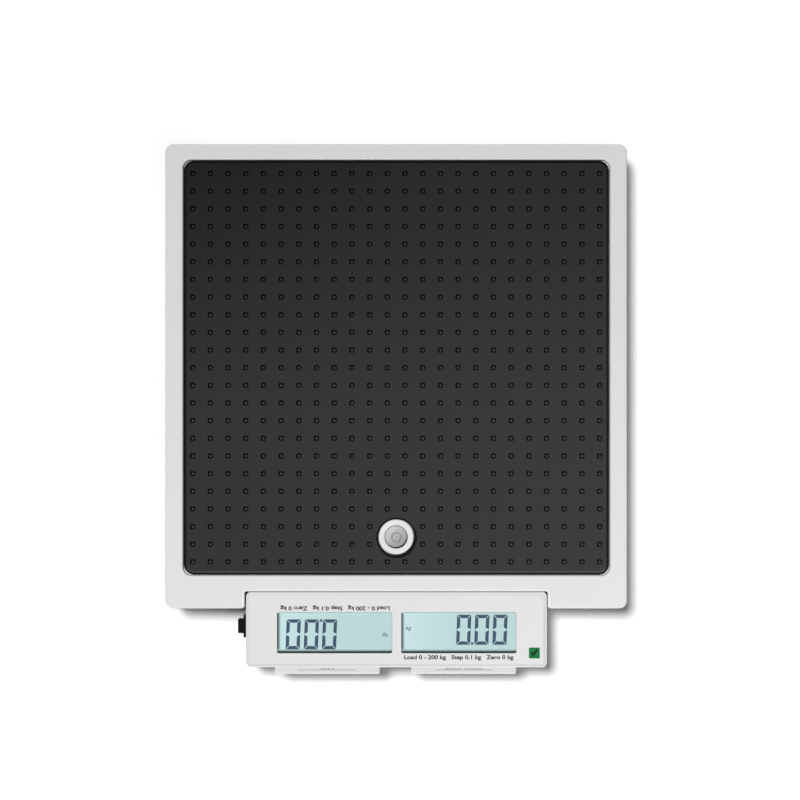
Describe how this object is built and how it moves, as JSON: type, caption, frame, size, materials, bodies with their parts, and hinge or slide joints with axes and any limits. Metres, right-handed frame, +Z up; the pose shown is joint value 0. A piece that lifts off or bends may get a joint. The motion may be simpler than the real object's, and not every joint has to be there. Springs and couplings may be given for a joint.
{
  "type": "animal weighing scale",
  "caption": "Flat portable floor scale for animals: rubber-topped platform on levelling feet, spirit level, and a front console with two opposed displays and foot keys.",
  "frame": {"origin": "on the floor under the middle of the whole object", "axes": "+X to the right and +Y to the back seen from the console side, +Z up"},
  "size_m": [0.321, 0.3692, 0.06],
  "materials": {
    "shell": "fine-textured light grey moulded plastic",
    "console": "smooth light grey moulded plastic",
    "mat": "matt charcoal rubber with a grid of small square dimples",
    "tray": "textured dark grey moulded plastic",
    "rubber": "matt black rubber",
    "foot_plastic": "satin black nylon",
    "black_plastic": "satin black plastic",
    "steel": "zinc plated sheet",
    "spring_steel": "nickel plated",
    "screw_steel": "zinc plated",
    "cell_aluminium": "anodised",
    "board": "green solder mask",
    "battery": "printed plastic sleeve",
    "cable": "grey cable sheath",
    "level_white": "polished white plastic",
    "clear_plastic": "clear acrylic",
    "level_fluid": "tinted liquid",
    "lcd": "reflective liquid crystal display",
    "sticker": "green printed film",
    "label": "silver printed film"
  },
  "bodies": {
    "base": {"top_shell": "shell", "platform_mat": "mat", "load_plate": "steel", "base_tray": "tray", "battery_1": "battery", "battery_2": "battery", "battery_3": "battery", "battery_4": "battery", "battery_5": "battery", "battery_6": "battery", "battery_contacts_front": "spring_steel", "battery_contacts_rear": "spring_steel", "load_cell_front_left": "cell_aluminium", "cell_hanger_front_left": "steel", "cell_cable_front_left": "cable", "load_cell_front_right": "cell_aluminium", "cell_hanger_front_right": "steel", "cell_cable_front_right": "cable", "load_cell_rear_left": "cell_aluminium", "cell_hanger_rear_left": "steel", "cell_cable_rear_left": "cable", "load_cell_rear_right": "cell_aluminium", "cell_hanger_rear_right": "steel", "cell_cable_rear_right": "cable", "main_board": "board", "console_cable": "cable", "shell_screw_front_left": "screw_steel", "shell_screw_front_right": "screw_steel", "shell_screw_rear_left": "screw_steel", "shell_screw_rear_right": "screw_steel", "level_collar": "black_plastic", "level_housing": "level_white", "level_vial": "clear_plastic", "level_fluid": "level_fluid", "console_cover": "console", "console_base": "console", "console_bracket": "steel", "display_board": "board", "display_window_left": "clear_plastic", "lcd_left": "lcd", "key_switch_left": "black_plastic", "key_spring_left": "spring_steel", "display_window_right": "clear_plastic", "lcd_right": "lcd", "key_switch_right": "black_plastic", "key_spring_right": "spring_steel", "power_inlet": "black_plastic", "check_sticker": "sticker", "rating_label": "label"},
    "battery_door": {"battery_door": "tray"},
    "key_left": {"key_left": "console"},
    "key_right": {"key_right": "console"},
    "foot_pad_front_left": {"foot_pad_front_left": "rubber"},
    "foot_screw_front_left": {"foot_screw_front_left": "foot_plastic"},
    "foot_pad_front_right": {"foot_pad_front_right": "rubber"},
    "foot_screw_front_right": {"foot_screw_front_right": "foot_plastic"},
    "foot_pad_rear_left": {"foot_pad_rear_left": "rubber"},
    "foot_screw_rear_left": {"foot_screw_rear_left": "foot_plastic"},
    "foot_pad_rear_right": {"foot_pad_rear_right": "rubber"},
    "foot_screw_rear_right": {"foot_screw_rear_right": "foot_plastic"}
  },
  "joints": [
    {"name": "foot_extend_front_left", "type": "slide", "parent": "base", "child": "foot_pad_front_left", "axis": [0, 0, -1], "range_m": [0, 0.005]},
    {"name": "foot_turn_front_left", "type": "hinge", "parent": "foot_pad_front_left", "child": "foot_screw_front_left", "pos_m": [-0.1255, -0.1113, 0.009], "axis": [0, 0, -1], "range_deg": [0, 1440]},
    {"name": "foot_extend_front_right", "type": "slide", "parent": "base", "child": "foot_pad_front_right", "axis": [0, 0, -1], "range_m": [0, 0.005]},
    {"name": "foot_turn_front_right", "type": "hinge", "parent": "foot_pad_front_right", "child": "foot_screw_front_right", "pos_m": [0.1255, -0.1113, 0.009], "axis": [0, 0, -1], "range_deg": [0, 1440]},
    {"name": "foot_extend_rear_left", "type": "slide", "parent": "base", "child": "foot_pad_rear_left", "axis": [0, 0, -1], "range_m": [0, 0.005]},
    {"name": "foot_turn_rear_left", "type": "hinge", "parent": "foot_pad_rear_left", "child": "foot_screw_rear_left", "pos_m": [-0.1255, 0.1506, 0.009], "axis": [0, 0, -1], "range_deg": [0, 1440]},
    {"name": "foot_extend_rear_right", "type": "slide", "parent": "base", "child": "foot_pad_rear_right", "axis": [0, 0, -1], "range_m": [0, 0.005]},
    {"name": "foot_turn_rear_right", "type": "hinge", "parent": "foot_pad_rear_right", "child": "foot_screw_rear_right", "pos_m": [0.1255, 0.1506, 0.009], "axis": [0, 0, -1], "range_deg": [0, 1440]},
    {"name": "key_left_press", "type": "hinge", "parent": "base", "child": "key_left", "pos_m": [-0.0475, -0.1742, 0.052], "axis": [1, 0, 0], "range_deg": [0, 4], "stiffness_Nm_per_rad": 0.6, "springref_deg": -4.01, "deforming": ["key_spring_left"]},
    {"name": "key_right_press", "type": "hinge", "parent": "base", "child": "key_right", "pos_m": [0.0475, -0.1742, 0.052], "axis": [1, 0, 0], "range_deg": [0, 4], "stiffness_Nm_per_rad": 0.6, "springref_deg": -4.01, "deforming": ["key_spring_right"]},
    {"name": "battery_door_slide", "type": "slide", "parent": "base", "child": "battery_door", "axis": [0, 1, 0], "range_m": [0, 0.055]}
  ],
  "couplings": [
    {"joint": "foot_extend_front_left", "follows": "foot_turn_front_left", "m_per_rad": 0.00019894},
    {"joint": "foot_extend_front_right", "follows": "foot_turn_front_right", "m_per_rad": 0.00019894},
    {"joint": "foot_extend_rear_left", "follows": "foot_turn_rear_left", "m_per_rad": 0.00019894},
    {"joint": "foot_extend_rear_right", "follows": "foot_turn_rear_right", "m_per_rad": 0.00019894}
  ]
}
